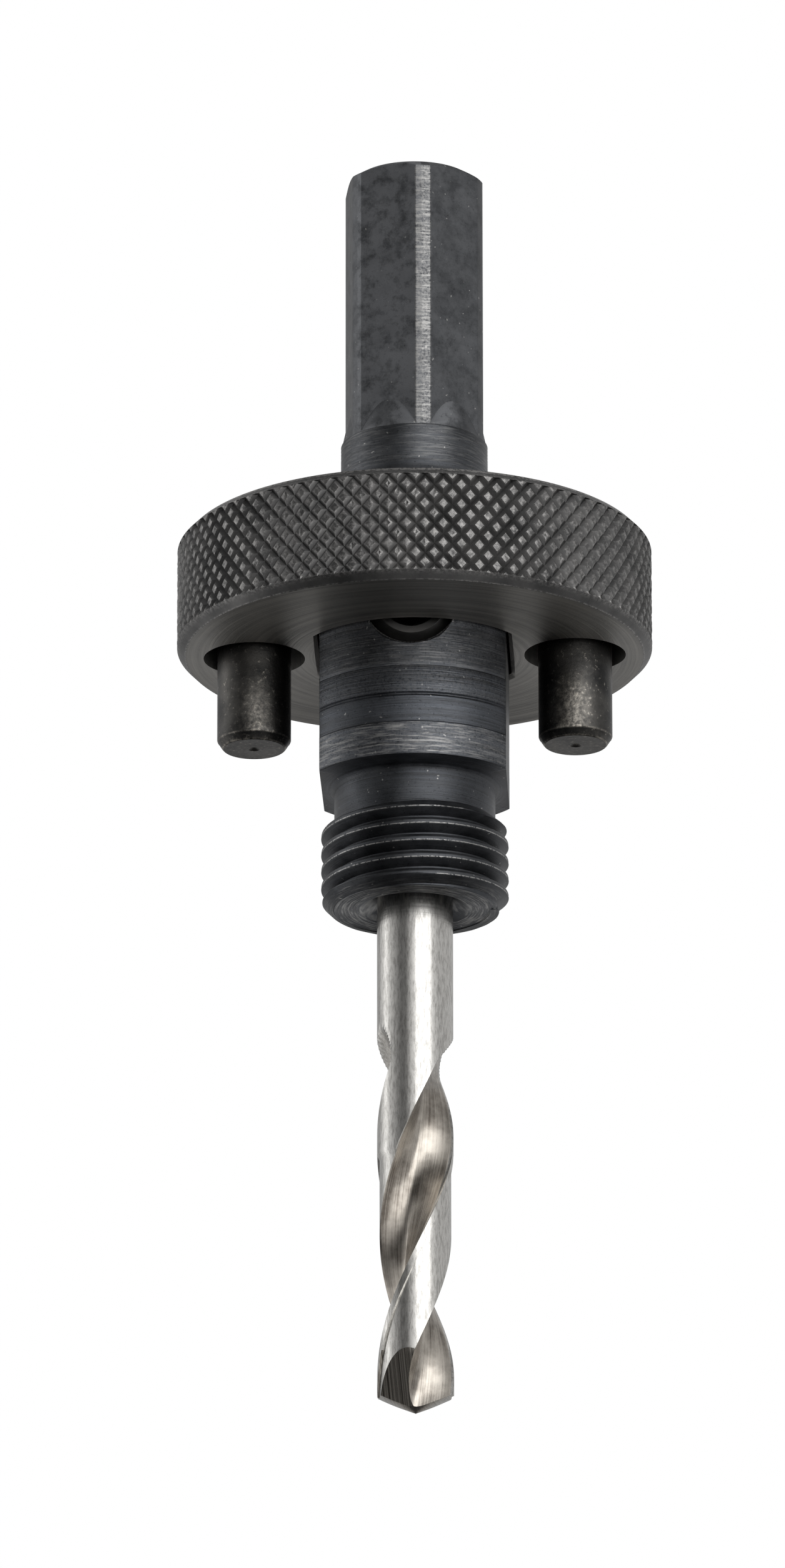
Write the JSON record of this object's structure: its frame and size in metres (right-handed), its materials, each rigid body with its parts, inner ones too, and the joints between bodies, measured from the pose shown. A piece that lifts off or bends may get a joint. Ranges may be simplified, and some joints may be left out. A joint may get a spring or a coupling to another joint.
{
  "type": "hole saw arbor",
  "caption": "Hole saw arbor: hexagon shank, sliding knurled drive plate with pins, male saw thread and a pilot drill held by a set screw.",
  "frame": {"origin": "centre of the shoulder face that the hole saw seats on, on the arbor's axis", "axes": "+Z along the axis towards the end of the hexagon shank, -Z towards the tip of the pilot drill; the two drive pins lie on X; -Y is the side of the set screw"},
  "size_m": [0.04, 0.04, 0.1091],
  "materials": {
    "black_oxide_bar": "turned and milled steel, black oxide, worn at the edges",
    "black_oxide_knurl": "knurled and turned steel, black oxide, worn on the tips",
    "black_oxide_pins": "pressed steel pins, black oxide, rubbed",
    "black_oxide_screws": "socket screws, black oxide",
    "ground_high_speed_steel": "bright ground high speed steel",
    "polished_ball_steel": "polished hardened steel",
    "spring_steel": "drawn spring steel wire"
  },
  "bodies": {
    "arbor": {"arbor_body": "black_oxide_bar"},
    "plate": {"drive_plate": "black_oxide_knurl", "drive_pin_left": "black_oxide_pins", "drive_pin_right": "black_oxide_pins", "detent_spring": "spring_steel", "detent_screw": "black_oxide_screws"},
    "ball": {"detent_ball": "polished_ball_steel"},
    "drill": {"pilot_drill": "ground_high_speed_steel"},
    "clamp_screw": {"set_screw": "black_oxide_screws"}
  },
  "joints": [
    {"name": "plate_slide", "type": "slide", "parent": "arbor", "child": "plate", "axis": [0, 0, -1], "range_m": [0, 0.0118]},
    {"name": "ball_press", "type": "slide", "parent": "plate", "child": "ball", "axis": [0, 1, 0], "range_m": [0, 0.0002], "stiffness_N_per_m": 200, "springref_m": -0.0005, "deforming": ["detent_spring"]},
    {"name": "drill_slide", "type": "slide", "parent": "arbor", "child": "drill", "axis": [0, 0, -1], "range_m": [0, 0.012]},
    {"name": "clamp_screw_travel", "type": "slide", "parent": "arbor", "child": "clamp_screw", "axis": [0, -1, 0], "range_m": [0, 0.0003]}
  ]
}
